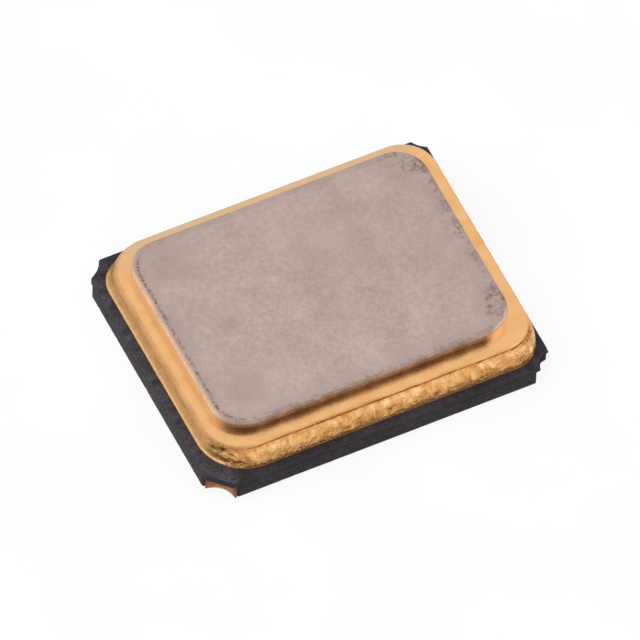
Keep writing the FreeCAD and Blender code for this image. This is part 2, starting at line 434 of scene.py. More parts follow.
def lidFinish():
    # Marks: rim is the band along the edge, tinted by the welding and darkened as painted shade, most on the
    # near side; burnt is the wall below it, heat tinted and darkened as painted shade where it faces away
    # from the light; groove the worn line inside it, soot the smudges near the edges, glint a painted
    # highlight on the edge and clean painted light that makes the wall below the highlight nearly white.
    finish = Finish("matt nickel plating")
    look = lidLook
    cloud = finish.patches(look["cloud"], detail=4, roughness=0.5)
    patch = finish.patches(look["patch"], detail=4, roughness=0.6, shift=3.0)
    fleck = finish.patches(look["fleck"], detail=3, roughness=0.6, shift=5.0)
    grain = finish.patches(look["grain"], detail=2)
    tone = 0.0
    for layer, share in zip((cloud, patch, fleck, grain), look["shares"]):
        tone = finish.sum(finish.times(layer, share), tone)
    colour = finish.ramp(tone, list(zip(look["bands"], (look["dark"], look["plain"], look["light"]))))
    broken = {"soot": finish.sum(patch, fleck), "rim": patch, "heatTintAndShade": patch, "groove": fleck, "glint": fleck}
    for mark, layer in broken.items():
        markColour, spread = look[mark]
        amount = finish.times(finish.mark(mark), finish.between(layer, *spread))
        colour = finish.blend(amount, colour, photoColour(*markColour))
    # Painted light: the wall below the highlight is made nearly white.
    colour = finish.blend(finish.mark("wallGlint"), colour, photoColour(*look["wallGlint"]))
    rough = finish.between(patch, 0.35, 0.65, *look["roughness"])
    normal = finish.relief(finish.sum(grain, fleck), look["grainDepth"])
    return finish.set(colour=colour, metal=1.0, rough=rough, normal=normal)


def plainMetalFinish(name, dark, light, cloud, roughness):
    finish = Finish(name)
    patch = finish.patches(cloud, detail=4)
    grain = finish.patches(cloud / 8, detail=2)
    colour = finish.ramp(finish.times(finish.sum(patch, grain), 0.5), [(0.38, dark), (0.62, light)])
    rough = finish.between(grain, 0.3, 0.7, *roughness)
    return finish.set(colour=colour, metal=1.0, rough=rough, normal=finish.relief(grain, 0.001))


terminalLook = {
    "stops": [(0.0, (104, 56, 40)), (0.35, (150, 102, 70)), (0.7, (206, 156, 104)), (1.0, (240, 196, 142))],
    "cloud": 0.07, "speckle": 0.014, "roughness": (0.32, 0.52), "grainDepth": 0.0015,
}


def terminalFinish():
    # The tone mark runs from dark brown high in the notch, painted shade under the overhang, to the plain
    # gold of the pad.
    finish = Finish("terminal gold")
    look = terminalLook
    cloud = finish.sum(finish.patches(look["cloud"], detail=4), 0.5, "SUBTRACT")
    speckle = finish.sum(finish.patches(look["speckle"], detail=2), 0.5, "SUBTRACT")
    tone = finish.sum(finish.mark("tone"), finish.times(finish.sum(cloud, speckle), 0.6))
    rough = finish.between(speckle, -0.2, 0.2, *look["roughness"])
    normal = finish.relief(speckle, look["grainDepth"])
    return finish.set(colour=finish.ramp(tone, look["stops"]), metal=1.0, rough=rough, normal=normal)


terminalGold = terminalFinish()
ceramicDark = ceramicFinish()
ringGold = ringFinish()
brazeGold = brazeFinish()
lidNickel = lidFinish()
print("finishes made:", len(bpy.data.materials))


# Ceramic body

ceramicShape = {
    "lowerNotch": [(0.150, 1.0), (0.131, 1.0), (0.172, 1.0), (0.142, 1.0)],
    "upperNotch": [(0.080, 0.45), (0.113, 0.50), (0.135, 0.05), (0.112, 0.80)],
    "edge": 0.006, "edgeSteps": 4, "edgeWear": 0.5, "lowerEdge": 0.003, "lowerSteps": 3, "lowerWear": 0.8,
    "seam": 0.0012, "seamStep": 0.0006, "wallSteps": 8, "upperWallSteps": 4,
    "shortEnd": 0.015, "shortFrom": 1.0, "shortOver": 0.1, "leftLight": 0.7, "wearSize": 0.05,
    "waviness": 0.0012, "waveSize": 0.16, "cornerReach": 0.2,
    "chips": 0.004, "chipSize": 0.03, "chipShare": 0.35,
    "wallWidth": 0.33, "cavityCorner": 0.10, "viaPoints": 24, "spacing": 0.05,
}


def viaCircle(node):
    low, high = lowCorner(node), highCorner(node)
    centre = [(low[0] + high[0]) / 2, (low[1] + high[1]) / 2]
    radius = (high[0] - low[0]) / 2
    turns = [2 * math.pi * step / ceramicShape["viaPoints"] for step in range(ceramicShape["viaPoints"])]
    return np.array([[centre[0] + radius * math.cos(t), centre[1] + radius * math.sin(t)] for t in turns])


def makeCeramicBody():
    look = ceramicShape
    levels = []     # height, inset, notch radii, how worn the edge is
    lowEdge, seam, edge = look["lowerEdge"], look["seam"], look["edge"]
    for step in range(look["lowerSteps"] + 1):
        turn = math.pi / 2 * step / look["lowerSteps"]
        rise, pull = lowEdge * (1 - math.cos(turn)), lowEdge * (1 - math.sin(turn))
        levels.append((baseBottom + rise, pull, look["lowerNotch"], look["lowerWear"]))
    for step in range(1, look["wallSteps"]):
        z = baseBottom + lowEdge + (baseTop - seam - baseBottom - lowEdge) * step / look["wallSteps"]
        levels.append((z, 0.0, look["lowerNotch"], 0.0))
    levels.append((baseTop - seam, 0.0, look["lowerNotch"], 0.0))
    levels.append((baseTop, seam, look["lowerNotch"], 0.0))
    levels.append((baseTop, seam + look["seamStep"], look["upperNotch"], 0.0))
    levels.append((baseTop + seam, 0.0, look["upperNotch"], 0.0))
    for step in range(1, look["upperWallSteps"]):
        z = baseTop + seam + (wallTop - edge - baseTop - seam) * step / look["upperWallSteps"]
        levels.append((z, 0.0, look["upperNotch"], 0.0))
    for step in range(look["edgeSteps"] + 1):
        turn = math.pi / 2 * step / look["edgeSteps"]
        rise, pull = edge * math.sin(turn), edge * (1 - math.cos(turn))
        levels.append((wallTop - edge + rise, pull, look["upperNotch"], look["edgeWear"]))
    vertices, wearAndLight = [], []
    reach = look["cornerReach"]
    for z, inset, notch, wear in levels:
        for x, y in notchedLoop(inset, notch):
            wave = look["waviness"] * (0.5 + 0.5 * smoothNoise((x, y, 0), look["waveSize"]))
            chip = max(0.0, smoothNoise((x, y, z * 2), look["chipSize"], 2) - look["chipShare"])
            pull = wave + chip * look["chips"] * (wear > 0)
            toEnd = limited((x - look["shortFrom"]) / look["shortOver"])
            short = look["shortEnd"] * (z > baseTop + 0.0001) * toEnd
            vertices.append((x - short - pull * np.sign(x) * (abs(x) > halfLength - reach),
                             y - pull * np.sign(y) * (abs(y) > halfWidth - reach), z))
            # Painted light: the top of the left side is made paler, as if lit from the left.
            left = look["leftLight"] * (z > wallTop - 0.001) * (x < reach - halfLength)
            wearAndLight.append((wear + left) * (0.6 + 0.8 * smoothNoise((x, y, z), look["wearSize"], 3)))
    count = len(notchedLoop(0, look["lowerNotch"]))
    faces = loftFaces(len(levels), count, False)

    def addPoints(points, z):
        start = len(vertices)
        vertices.extend((x, y, z) for x, y in points)
        wearAndLight.extend([0.0] * len(points))
        return start

    def addFlat(outerStart, outerPoints, holes, z, facingUp, spacing=0.0):
        # Fills between loops that are already in the mesh; holes are pairs of start and points.
        places = list(range(outerStart, outerStart + len(outerPoints)))
        for start, points in holes:
            places += range(start, start + len(points))
        loops = [np.array(points) for _, points in holes]
        points, triangles, origins, fixed = fillFlat(np.array(outerPoints), loops, spacing)
        where = []
        for point, origin in zip(points, origins):
            known = [number for number in origin if number < fixed]
            where.append(places[known[0]] if known else addPoints([point], z))
        for triangle in triangles:
            corners = [where[number] for number in triangle]
            faces.append(tuple(corners if facingUp else reversed(corners)))

    vias = {node: viaCircle(node) for node in ("signal_via_in", "signal_via_out",
                                               "ground_via_right", "ground_via_left")}
    viaBottoms = {node: addPoints(circle, baseBottom) for node, circle in vias.items()}
    viaTops = {}
    for node, circle in vias.items():
        viaTops[node] = addPoints(circle, baseTop if "signal" in node else wallTop)
        ring = range(len(circle))
        for place in ring:
            after = (place + 1) % len(circle)
            low, high = viaBottoms[node], viaTops[node]
            faces.append((low + after, low + place, high + place, high + after))
    bottom = [vertices[place][:2] for place in range(count)]
    addFlat(0, bottom, [(viaBottoms[n], c) for n, c in vias.items()], baseBottom, False, look["spacing"])
    cavity, _ = roundedLoop(look["wallWidth"], look["cavityCorner"])
    cavityTop = addPoints(cavity, wallTop)
    cavityFloor = addPoints(cavity, baseTop)
    size = len(cavity)
    for place in range(size):
        after = (place + 1) % size
        faces.append((cavityTop + place, cavityTop + after, cavityFloor + after, cavityFloor + place))
    topStart = (len(levels) - 1) * count
    top = [vertices[topStart + place][:2] for place in range(count)]
    grounds = [(viaTops[n], vias[n]) for n in vias if "ground" in n]
    addFlat(topStart, top, [(cavityTop, cavity)] + grounds, wallTop, True)
    signals = [(viaTops[n], vias[n]) for n in vias if "signal" in n]
    addFlat(cavityFloor, cavity, signals, baseTop, True)
    body = makePiece("ceramicBody", vertices, faces, ceramicDark, 50, {"wearAndLight": wearAndLight})
    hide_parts("ceramic_body")


makeCeramicBody()
print("ceramic body made")


# Terminals: a pad underneath and the lining of the corner notch

terminalShape = {
    "lining": 0.012, "padInset": 0.07, "padLength": 0.80, "padWidth": 0.70,
    "padCorner": 0.05, "padCornerSteps": 8, "padEdge": 0.004, "padTone": 0.85,
    "steps": 40, "unevenness": 0.003, "lumpSize": 0.05, "thinSteps": 4, "endSteps": 9, "endTone": 0.28,
    "liningHeights": (0.0, 0.25, 0.45, 0.65, 0.8, 1.0), "liningShade": (0.46, 0.40, 0.28, 0.18, 0.06, 0.0),
}
# Each terminal's corner, the radius of its notch, and where the metal starts and ends round that notch
# in degrees from the long side
terminals = {
    "terminal_in": (-1, -1, 0.160, 3, 84), "terminal_ground_right": (1, -1, 0.130, 36, 56),
    "terminal_out": (1, 1, 0.138, 18, 72), "terminal_ground_left": (-1, 1, 0.119, 16, 66),
}


def padOutline(signX, signY, radius, pull):
    # The pad seen from above with its notch, pulled in all round by the given amount.
    look = terminalShape
    outX, outY = halfLength - look["padInset"] - pull, halfWidth - look["padInset"] - pull
    inX, inY = outX - look["padLength"] + 2 * pull, outY - look["padWidth"] + 2 * pull
    notch = radius + pull
    corner = look["padCorner"]
    points = []
    reachX, reachY = halfLength - outX, halfWidth - outY
    first, last = math.acos(reachX / notch), math.asin(reachY / notch)
    for step in range(look["steps"] // 2 + 1):
        angle = first + (last - first) * step / (look["steps"] // 2)
        points.append((halfLength - notch * math.cos(angle), halfWidth - notch * math.sin(angle)))
    rounds = [((inX + corner, outY - corner), 90), ((inX + corner, inY + corner), 180),
              ((outX - corner, inY + corner), 270)]
    for (x, y), start in rounds:
        for step in range(look["padCornerSteps"] + 1):
            angle = math.radians(start + 90 * step / look["padCornerSteps"])
            points.append((x + corner * math.cos(angle), y + corner * math.sin(angle)))
    if signX * signY < 0:
        points.reverse()
    return np.array([(signX * x, signY * y) for x, y in points])


def makeTerminal(node):
    look = terminalShape
    signX, signY, notch, first, last = terminals[node]
    vertices, faces = [], []
    edge = look["padEdge"]
    levels = [(0.0, edge), (edge * 0.3, edge * 0.3), (edge, 0.0), (baseBottom, 0.0)]
    for z, pull in levels:
        vertices += [(x, y, z) for x, y in padOutline(signX, signY, notch, pull)]
    count = len(padOutline(signX, signY, notch, 0.0))
    faces += loftFaces(len(levels), count, False)
    faces.append(tuple(reversed(range(count))))
    faces.append(tuple(range((len(levels) - 1) * count, len(levels) * count)))
    toneAndShade = [look["padTone"]] * len(vertices)
    pad = makePiece(node + "_pad", vertices, faces, terminalGold, 35, {"tone": toneAndShade})
    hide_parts(node)
    # The lining runs round the notch, a little short of the side faces.
    inner, outer = notch, notch + look["lining"]
    section = [(inner, 0.0), (inner, 0.2), (inner, 0.4), (inner, 0.6), (inner, 0.8), (inner, 0.94),
               (inner + 0.002, 0.985), (inner + 0.006, 1.0), (outer, 1.0), (outer, 0.5), (outer, 0.0)]
    vertices, faces, toneAndShade = [], [], []
    steps = look["steps"]
    for step in range(steps + 1):
        angle = math.radians(first + (last - first) * step / steps)
        thin = limited(min(step, steps - step) / look["thinSteps"])
        for radius, share in section:
            z = baseTop * share
            lump = smoothNoise((signX * step * 0.02, signY * z * 2, radius), look["lumpSize"], 5)
            uneven = look["unevenness"] * (0.4 + lump) + look["lining"] * 0.8 * (1 - thin)
            reach = radius + (uneven if radius == inner and share > 0 else 0)
            ragged = z * (1 - 0.10 * (share > 0.5) * (1 - thin) - 0.05 * (share > 0.9) * (0.5 + lump))
            x = halfLength - reach * math.cos(angle)
            y = halfWidth - reach * math.sin(angle)
            vertices.append((signX * x, signY * y, ragged))
            # Painted shade: the lining is darker towards its top, under the overhanging upper layer, and
            # darker towards its ends.
            darkening = look["endTone"] * limited(1 - min(step, steps - step) / look["endSteps"])
            toneAndShade.append(np.interp(share, look["liningHeights"], look["liningShade"]) - darkening)
    size = len(section)
    for step in range(steps):
        for place in range(size):
            after = (place + 1) % size
            here, there = step * size, (step + 1) * size
            quad = (here + place, here + after, there + after, there + place)
            faces.append(quad if signX * signY > 0 else tuple(reversed(quad)))
    start, end = tuple(range(size)), tuple(range(steps * size, (steps + 1) * size))
    faces.append(tuple(reversed(start)) if signX * signY > 0 else start)
    faces.append(end if signX * signY > 0 else tuple(reversed(end)))
    lining = makePiece(node + "_lining", vertices, faces, terminalGold, 35, {"tone": toneAndShade})
    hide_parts(node)


for node in terminals:
    makeTerminal(node)
print("terminals made:", len(terminals))


# Seal: printed band, braze and ring

def joinRows(name, rows, closed, finish, sharpAngle=40, marks=None):
    # Skins rows of points that all have the same count.
    vertices = [vertex for row in rows for vertex in row]
    faces = loftFaces(len(rows), len(rows[0]), closed)
    return makePiece(name, vertices, faces, finish, sharpAngle, marks)


ringShape = {
    "footCorners": (0.25, 0.205, 0.310, 0.190), "crestCorners": (0.25, 0.295, 0.285, 0.240),
    "innerCorner": 0.09, "width": 0.212, "crestSteps": 8, "flatSteps": 14,
    "crest": {"near": 0.019, "left": 0.024, "far": 0.012, "right": 0.012}, "dip": 0.0012, "dipSize": 0.14,
    # Painted shade in the crease, for each side
    "creaseShade": {"near": 0.90, "left": 0.55, "far": 0.35, "right": 0.35, "nearLeft": 0.50},
    "creaseSize": 0.18, "creaseFade": 0.45, "farSheen": 0.85,
    # The near side's painted crease shade is fainter towards the right, by this much over this length, and
    # darker round one place: how much, where and how wide
    "nearFaint": (0.25, 0.3), "nearDeeperShade": (0.30, -0.25, 0.22),
    # How far out or in the metal stands from its nominal outline, at the foot of the bead and at its crest
    "footShift": {"near": 0.000, "left": -0.009, "far": -0.002, "right": 0.0},
    "crestShift": {"near": -0.0215, "left": -0.003, "far": -0.006, "right": 0.0},
}
footLoop, loopFacing = roundedLoop(ringInset, ringShape["footCorners"])
crestLoop, _ = roundedLoop(ringInset, ringShape["crestCorners"])
ringLoop = (footLoop + crestLoop) / 2
loopShares = [sideShares(outX, outY) for outX, outY in loopFacing]


def outFromRing(place, out, z, climb=1.0):
    # A point beside the ring's outer face; climb runs from 0 at the foot of the bead to 1 at its crest.
    (outX, outY), shares = loopFacing[place], loopShares[place]
    x, y = footLoop[place] + (crestLoop[place] - footLoop[place]) * climb
    footOut, crestOut = bySide(shares, ringShape["footShift"]), bySide(shares, ringShape["crestShift"])
    out += (1 - climb) * footOut + climb * crestOut
    return (x + out * outX, y + out * outY, z)


def makeSealRing():
    look = ringShape
    everywhere = range(len(ringLoop))
    rows = [[outFromRing(place, 0.0, ringBottom) for place in everywhere],
            [outFromRing(place, 0.0, (ringBottom + ringTop) / 2) for place in everywhere]]
    crests = [bySide(shares, look["crest"]) for shares in loopShares]
    # Painted shade along the crease: strongest on the near side, fainter to its right and deeper round one
    # place.
    deepestShade = []
    (faint, faintOver), (darkening, darkeningX, darkeningWidth) = look["nearFaint"], look["nearDeeperShade"]
    for shares, (x, y) in zip(loopShares, ringLoop):
        uneven = limited(0.9 + 0.7 * smoothNoise((x, y, 0), look["creaseSize"], 14), 0.2, 1.15)
        value = bySide(shares, look["creaseShade"]) * uneven
        value -= shares["near"] * (faint * limited(x / faintOver) - darkening * math.exp(
            -((x - darkeningX) / darkeningWidth) ** 2))
        deepestShade.append(limited(value))
    creaseShade = deepestShade * 2
    for step in range(look["crestSteps"] + 1):
        turn = math.pi / 2 * step / look["crestSteps"]
        creaseShade += [value * (1 - step / look["crestSteps"]) ** look["creaseFade"] for value in deepestShade]
        rows.append([outFromRing(place, -crests[place] * (1 - math.cos(turn)),
                                 ringTop - crests[place] * (1 - math.sin(turn))) for place in everywhere])
    inside, _ = roundedLoop(ringInset + look["width"], look["innerCorner"])
    for step in range(1, look["flatSteps"] + 1):
        share = step / look["flatSteps"]
        row = []
        for place in everywhere:
            x, y, z = outFromRing(place, -crests[place], ringTop)
            x, y = x + (inside[place][0] - x) * share, y + (inside[place][1] - y) * share
            dip = look["dip"] * (0.5 + 0.5 * smoothNoise((x, y, 0), look["dipSize"], 9))
            row.append((x, y, z - dip * (0.05 < share < 0.4)))
        rows.append(row)
    rows.append([(x, y, ringBottom) for x, y in inside])
    marks = {"creaseShade": creaseShade + [0.0] * (len(rows) * len(ringLoop) - len(creaseShade)),
             "farSheen": [shares["far"] * look["farSheen"] for shares in loopShares] * len(rows)}
    ring = joinRows("sealRing", rows, True, ringGold, 40, marks)
    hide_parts("seal_ring")


printShape = {
    "innerInset": 0.31, "innerCorner": 0.12, "edge": 0.003, "ragged": 0.002, "raggedSize": 0.06,
    "margin": 0.002, "tone": 0.66, "mottle": 0.4,
}


def makeSealPrint():
    look = printShape
    out = ringInset - sealInset
    rows = []
    for pull, z in [(0.0, wallTop), (0.0, printTop - look["edge"]), (0.3, printTop - look["edge"] * 0.3),
                    (1.0, printTop)]:
        row = []
        for place, (x, y) in enumerate(ringLoop):
            ragged = look["ragged"] * (0.5 + 0.5 * smoothNoise((x, y, 0), look["raggedSize"], 8))
            row.append(outFromRing(place, out - pull * look["edge"] - ragged - look["margin"], z, 0.0))
        rows.append(row)
    inside, _ = roundedLoop(look["innerInset"], look["innerCorner"])
    rows += [[(x, y, printTop) for x, y in inside], [(x, y, wallTop) for x, y in inside]]
    count = len(rows) * len(ringLoop)
    marks = {"tone": [look["tone"]] * count, "mottle": [look["mottle"]] * count}
    band = joinRows("sealPrint", rows, True, brazeGold, 40, marks)
    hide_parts("seal_print")


# The bead's outline outwards from the ring and up from the print, as two curves that meet at the crest
beadShape = {
    "full": [(0.0295, 0.000), (0.0315, 0.050), (0.0265, 0.124), (0.0140, 0.1480),
             (0.0080, 0.1585), (0.0000, 0.160), (-0.0045, 0.148)],
    "hollow": [(0.0300, 0.003), (0.0190, 0.008), (0.0095, 0.050), (0.0070, 0.100),
               (0.0050, 0.138), (0.0020, 0.154), (-0.0050, 0.156)],
    "fullness": {"near": 1.0, "left": 0.0, "far": 0.45, "right": 0.7, "nearLeft": -0.25},
    "curveSteps": (20, 10), "lumpSize": 0.060, "lumpShift": 0.45,
    "lump": {"near": 0.0060, "left": 0.0016, "far": 0.0040, "right": 0.0050, "nearLeft": 0.003,
             "nearRight": 0.003},
    "grain": {"near": 0.0016, "left": 0.0006, "far": 0.0015, "right": 0.0016}, "grainSize": 0.018,
    "innerWidth": 0.016, "innerHeight": 0.040, "tuck": 0.0035,
    # Painted light and shade up the bead's face: heights in parts of the way up, and each side's tone there
    "places": (0.0, 0.08, 0.18, 0.35, 0.5, 0.62, 0.75, 0.88, 1.0),
    "toneAndShade": {"near": (0.66, 0.72, 0.62, 0.67, 0.78, 0.82, 0.66, 0.48, 0.34),
              "left": (0.60, 0.83, 0.87, 0.82, 0.76, 0.69, 0.58, 0.50, 0.44),
              "far": (0.40, 0.44, 0.50, 0.55, 0.60, 0.66, 0.70, 0.64, 0.44),
              "right": (0.40, 0.48, 0.54, 0.60, 0.64, 0.70, 0.74, 0.66, 0.44)},
    "mottle": {"near": 0.95, "left": 0.30, "far": 0.50, "right": 0.65, "nearLeft": 0.15, "nearRight": 1.00},
    # Painted shadow and highlight at the corners: how far up, how tall and how much lighter
    "cornerShading": {"nearLeft": [(0.84, 0.20, -0.08), (0.04, 0.05, 0.35)],
                    "nearRight": [(0.25, 0.16, 0.45), (0.72, 0.16, -0.45)], "farLeft": [(0.60, 0.25, -0.24)]},
}


def curveThrough(handles):
    corners = [Vector((out, up, 0)) for out, up in handles]
    first, second = beadShape["curveSteps"]
    points = geometry.interpolate_bezier(*corners[0:4], first)[:-1]
    return points + geometry.interpolate_bezier(*corners[3:7], second)


def makeBraze():
    look = beadShape
    full, hollow = curveThrough(look["full"]), curveThrough(look["hollow"])
    last = len(full) - 1
    rows, marks = [], {"tone": [], "mottle": [], "along": [], "up": []}
    along = np.cumsum([math.dist(ringLoop[place - 1], ringLoop[place]) for place in range(len(ringLoop))])
    for step in range(last + 1):
        share = step / last
        fade = limited(6 * (1 - share)) * limited(5 * share)
        row = []
        for place, shares in enumerate(loopShares):
            x, y = ringLoop[place]
            fullness = limited(bySide(shares, look["fullness"]))
            out = full[step].x * fullness + hollow[step].x * (1 - fullness)
            up = full[step].y * fullness + hollow[step].y * (1 - fullness)
            z = printTop + up
            lump = smoothNoise((x, y, z), look["lumpSize"], 4)
            lump += 0.5 * smoothNoise((x, y, z), look["lumpSize"] / 2.2, 6)
            grain = smoothNoise((x, y, z), look["grainSize"], 7)
            rise = bySide(shares, look["lump"])
            out += ((lump - look["lumpShift"]) * rise + grain * bySide(shares, look["grain"])) * fade
            out = min(out, ringInset - sealInset)
            z += 0.4 * lump * rise * fade * (share > 0.5)
            row.append(outFromRing(place, out, min(z, ringTop), share))
            # Painted light and shade: each side's tone at this height up the face.
            tone = bySide(shares, {side: np.interp(share, look["places"], toneAndShade)
                                   for side, toneAndShade in look["toneAndShade"].items()})
            # Painted highlight: the lumps that stand out are lighter.
            tone += 0.10 * lump * (0.4 + fullness * 0.6)
            for corner, spots in look["cornerShading"].items():
                for middle, height, lighter in spots:
                    tone += shares[corner] * lighter * math.exp(-((share - middle) / height) ** 2)
            marks["tone"].append(limited(tone, 0.02, 0.98))
            marks["mottle"].append(bySide(shares, look["mottle"]))
            marks["along"].append(along[place])
            marks["up"].append(share * (beadTop - printTop))
        rows.append(row)
    innerInset = ringInset + ringShape["width"]
    opening = innerInset + look["innerWidth"]
    inner = ringShape["innerCorner"]
    inside, _ = roundedLoop(innerInset, inner)
    hole, _ = roundedLoop(opening, inner)
    everywhere = range(len(ringLoop))
    rows.append([outFromRing(place, -look["tuck"], ringBottom) for place in everywhere])
    rows.append([(x, y, ringBottom) for x, y in inside])
    rows.append([(x, y, ringBottom + look["innerHeight"]) for x, y in inside])
    rows.append([(x, y, ringBottom + look["innerHeight"] * 0.3) for x, y in hole])
    rows.append([(x, y, printTop) for x, y in hole])
    for mark, plain in [("tone", 0.6), ("mottle", 0.3), ("along", 0.0), ("up", 0.0)]:
        marks[mark] += [plain] * (len(rows) * len(ringLoop) - len(marks[mark]))
    bead = joinRows("brazeBead", rows, True, brazeGold, 60, marks)
    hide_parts("braze")


makeSealPrint()
makeBraze()
makeSealRing()
print("seal made")


# Lid

lidShape = {
    "corners": (0.22, 0.22, 0.275, 0.270), "edgeSteps": 10,
    "edge": {"near": 0.013, "left": 0.024, "far": 0.022, "right": 0.022},
    "outline": {"near": -0.038, "left": 0.000, "far": 0.005, "right": 0.004},
    "topSteps": (0.003, 0.006, 0.010, 0.014, 0.018, 0.024, 0.031, 0.040, 0.055, 0.075, 0.100),
    "rimWidth": 0.011, "sootWidth": 0.13, "groovePlace": 0.020, "grooveWidth": 0.010, "grooveDepth": 0.0030,
    "grooveSize": 0.07,
    "spacing": 0.026, "waviness": 0.0014, "waveSize": 0.30, "nick": 0.0030, "nickSize": 0.045,
    # Painted shade on the wall and the rim by side, on top of their heat tint
    "heatTintAndShade": {"near": 1.0, "left": 0.0, "far": 0.50, "right": 0.25, "nearLeft": 0.35, "nearRight": -0.60},
    "rimTintAndShade": {"near": 0.80, "left": 0.10, "far": 0.20, "right": 0.24},
    "groove": {"near": 0.45, "left": 0.95, "far": 0.25, "right": 0.30, "farLeft": 0.2},
    "soot": {"near": 0.30, "left": 0.35, "far": 0.10, "right": 0.55},
    "glintWidth": 0.030, "glint": {"left": 0.9, "nearRight": 1.1, "nearLeft": -0.8},
    # How far up the wall these marks reach, in parts of its height, and over how much they fade
    "tintAndShadeUp": (0.62, 0.28), "wallGlintUp": (0.75, 0.15),
    # Smudges on top: where, how wide and how strong
    "blots": [(0.99, 0.74, 0.18, 1.00), (1.04, -0.60, 0.13, 1.20), (-0.85, 0.70, 0.20, 0.40),
              (1.06, 0.05, 0.18, 0.35), (-0.80, -0.55, 0.15, 0.40), (0.2, 0.35, 0.25, 0.15)],
}


def makeLid():
    look = lidShape
    height = lidTop - ringTop
    # Rows up the wall, round the edge and in over the top: how far in and up, in parts of the edge radius,
    # and how much further in
    section = [(0.0, 0.0, 0.02), (0.0, 0.0, 0.0), (0.0, 0.33, 0.0), (0.0, 0.67, 0.0)]
    for step in range(look["edgeSteps"] + 1):
        turn = math.pi / 2 * step / look["edgeSteps"]
        section.append((1 - math.cos(turn), 1 + math.sin(turn), 0.0))
    section += [(1.0, 2.0, step) for step in look["topSteps"]]
    vertices = []
    marks = {name: [] for name in ("rim", "heatTintAndShade", "groove", "soot", "glint", "wallGlint")}

    def wave(x, y):
        return look["waviness"] * (0.5 + 0.5 * smoothNoise((x, y, 0), look["waveSize"], 11))

    def grooveAt(beyond, shares):
        return limited(bySide(shares, look["groove"])) * math.exp(
            -((beyond - look["groovePlace"]) / look["grooveWidth"]) ** 2)

    def addMarks(x, y, up, beyond, shares):
        # Beyond is how far in from where the edge turns flat, and up runs from 0 at the foot to 1 on top.
        # Painted shade on the rim, most on the near side, on top of the tint from the welding.
        rim = limited(bySide(shares, look["rimTintAndShade"])) * limited(1 - beyond / look["rimWidth"])
        soot = bySide(shares, look["soot"]) * limited(1 - beyond / look["sootWidth"])
        for blotX, blotY, size, strength in look["blots"]:
            soot += strength * math.exp(-((x - blotX) ** 2 + (y - blotY) ** 2) / size ** 2)
        (tintAndShadeUp, tintAndShadeFade), (wallGlintUp, wallGlintFade) = look["tintAndShadeUp"], look["wallGlintUp"]
        marks["rim"].append(rim)
        # Painted shade: the wall is darkened by side, most on the near side, on top of its heat tint.
        marks["heatTintAndShade"].append(limited((tintAndShadeUp - up) / tintAndShadeFade) * limited(bySide(shares, look["heatTintAndShade"])))
        marks["groove"].append(grooveAt(beyond, shares))
        marks["soot"].append(limited(soot))
        # Painted highlight on the edge, and painted light that makes the wall below it nearly white.
        glint = limited(bySide(shares, look["glint"]))
        marks["glint"].append(glint * limited(0.3 - beyond / look["glintWidth"]))
        marks["wallGlint"].append(glint * limited((wallGlintUp - up) / wallGlintFade))

    outline, facing = roundedLoop(lidInset, look["corners"])
    for across, rise, further in section:
        for (x, y), (outX, outY) in zip(outline, facing):
            shares = sideShares(outX, outY)
            edge = bySide(shares, look["edge"])
            shoulder = height - edge
            z = ringTop + (shoulder * rise if rise <= 1 else shoulder + edge * (rise - 1))
            up = (z - ringTop) / height
            nick = max(0.0, smoothNoise((x, y, 0), look["nickSize"], 12)) * look["nick"]
            nick *= 1.0 if rise > 0.5 and further < 0.006 else 0.0
            inward = edge * across + further + nick - bySide(shares, look["outline"])
            uneven = limited(0.6 + 0.8 * smoothNoise((x, y, 0), look["grooveSize"], 13), 0.0, 1.3)
            beyond = further if across == 1.0 else (across - 1) * edge
            z -= nick * 0.6 + look["grooveDepth"] * uneven * grooveAt(beyond, shares)
            z -= wave(x, y) if up > 0.7 else 0.0
            vertices.append((x - inward * outX, y - inward * outY, z))
            addMarks(x, y, up, beyond, shares)
    count = len(outline)
    faces = loftFaces(len(section), count, False)
    topStart = (len(section) - 1) * count
    top = np.array([vertices[topStart + place][:2] for place in range(count)])
    points, triangles, origins, fixed = fillFlat(top, [], look["spacing"])
    where = []
    for (x, y), origin in zip(points, origins):
        known = [number for number in origin if number < fixed]
        if known:
            where.append(topStart + known[0])
            continue
        where.append(len(vertices))
        vertices.append((x, y, lidTop - wave(x, y)))
        toX, toY = halfLength - lidInset - abs(x), halfWidth - lidInset - abs(y)
        shares = sideShares(math.copysign(1, x), 0) if toX < toY else sideShares(0, math.copysign(1, y))
        addMarks(x, y, 1.0, max(look["topSteps"][-1], min(toX, toY) - look["edge"]["near"]), shares)
    faces += [tuple(where[number] for number in triangle) for triangle in triangles]
    faces.append(tuple(reversed(range(count))))
    lid = makePiece("lidPlate", vertices, faces, lidNickel, 45, marks)
    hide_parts("lid")


makeLid()
print("lid made")


# Inner pieces keep their solids and get finishes of their own.

innerLook = {
    "film": ((196, 150, 92), (236, 196, 138)), "glue": ((120, 116, 110), (176, 172, 164)),
    "land": ((190, 138, 84), (240, 192, 132)), "via": ((78, 74, 72), (112, 106, 102)),
    "print": ((70, 64, 66), (100, 94, 96)), "quartz": (225, 230, 232),
}


def quartzFinish():
    finish = Finish("lapped quartz")
    haze = finish.patches(0.02, detail=3)
    finish.shader.inputs["Transmission Weight"].default_value = 0.9
    finish.shader.inputs["IOR"].default_value = 1.54
    rough = finish.between(haze, 0.3, 0.7, 0.12, 0.30)
    colour = finish.ramp(haze, [(0.35, (214, 220, 222)), (0.65, innerLook["quartz"])])
    return finish.set(colour=colour, rough=rough, normal=finish.relief(haze, 0.0004))


